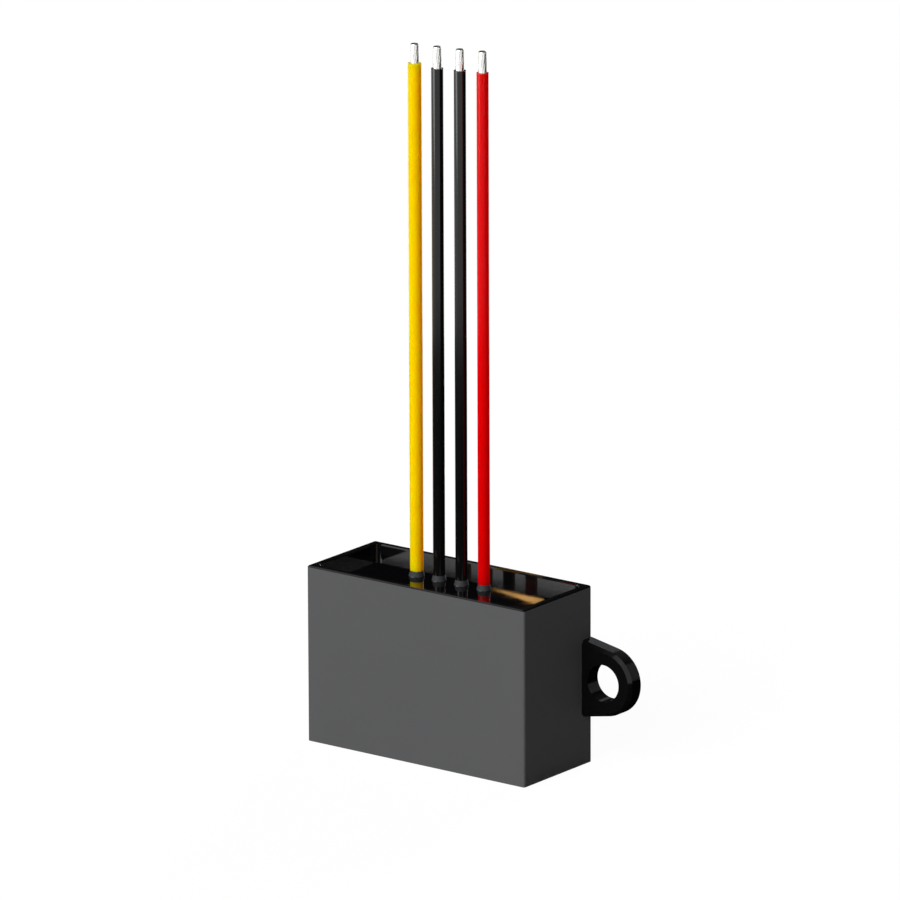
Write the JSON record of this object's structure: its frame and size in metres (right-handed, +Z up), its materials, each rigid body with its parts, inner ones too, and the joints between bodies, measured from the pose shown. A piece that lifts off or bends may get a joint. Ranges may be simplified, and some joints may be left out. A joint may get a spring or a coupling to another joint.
{
  "type": "potted buck-boost converter module",
  "caption": "Potted step-up step-down voltage converter: black box with mounting ears and upright bare-ended leads.",
  "frame": {"origin": "centre of the box's footprint, on the face it stands on", "axes": "+X along the box's long side towards the red lead, +Y from the front face to the mounting face that the ears are flush with, +Z up along the leads"},
  "size_m": [0.0666, 0.019, 0.1227],
  "materials": {
    "case_plastic": "fine matt moulded black plastic",
    "potting_resin": "glossy black epoxy resin",
    "board_laminate": "green glass-fibre laminate",
    "ferrite": "dark grey ferrite",
    "enamelled_copper": "enamelled copper wire",
    "chip_plastic": "moulded chip package",
    "ceramic_chip": "fired ceramic with tinned ends",
    "capacitor_can": "drawn aluminium can",
    "capacitor_base": "moulded base plate",
    "yellow_insulation": "smooth yellow insulation",
    "black_insulation": "smooth black insulation",
    "red_insulation": "smooth red insulation",
    "tinned_copper": "solder-dipped copper strand",
    "solder": "solder"
  },
  "bodies": {
    "root": {"case": "case_plastic", "potting_compound": "potting_resin", "circuit_board": "board_laminate", "inductor_core": "ferrite", "inductor_winding": "enamelled_copper", "controller_chip": "chip_plastic", "sense_resistor": "ceramic_chip", "input_capacitor_can": "capacitor_can", "input_capacitor_base": "capacitor_base", "output_capacitor_can": "capacitor_can", "output_capacitor_base": "capacitor_base", "ceramic_capacitor_1": "ceramic_chip", "ceramic_capacitor_2": "ceramic_chip", "ceramic_capacitor_3": "ceramic_chip", "ceramic_capacitor_4": "ceramic_chip", "power_switch_1": "chip_plastic", "power_switch_2": "chip_plastic", "power_switch_3": "chip_plastic", "power_switch_4": "chip_plastic", "feedback_resistor_1": "ceramic_chip", "feedback_resistor_2": "ceramic_chip", "feedback_resistor_3": "ceramic_chip", "lead_yellow_insulation": "yellow_insulation", "lead_yellow_conductor": "tinned_copper", "solder_joint_yellow": "solder", "lead_black_left_insulation": "black_insulation", "lead_black_left_conductor": "tinned_copper", "solder_joint_black_left": "solder", "lead_black_right_insulation": "black_insulation", "lead_black_right_conductor": "tinned_copper", "solder_joint_black_right": "solder", "lead_red_insulation": "red_insulation", "lead_red_conductor": "tinned_copper", "solder_joint_red": "solder"}
  },
  "joints": []
}
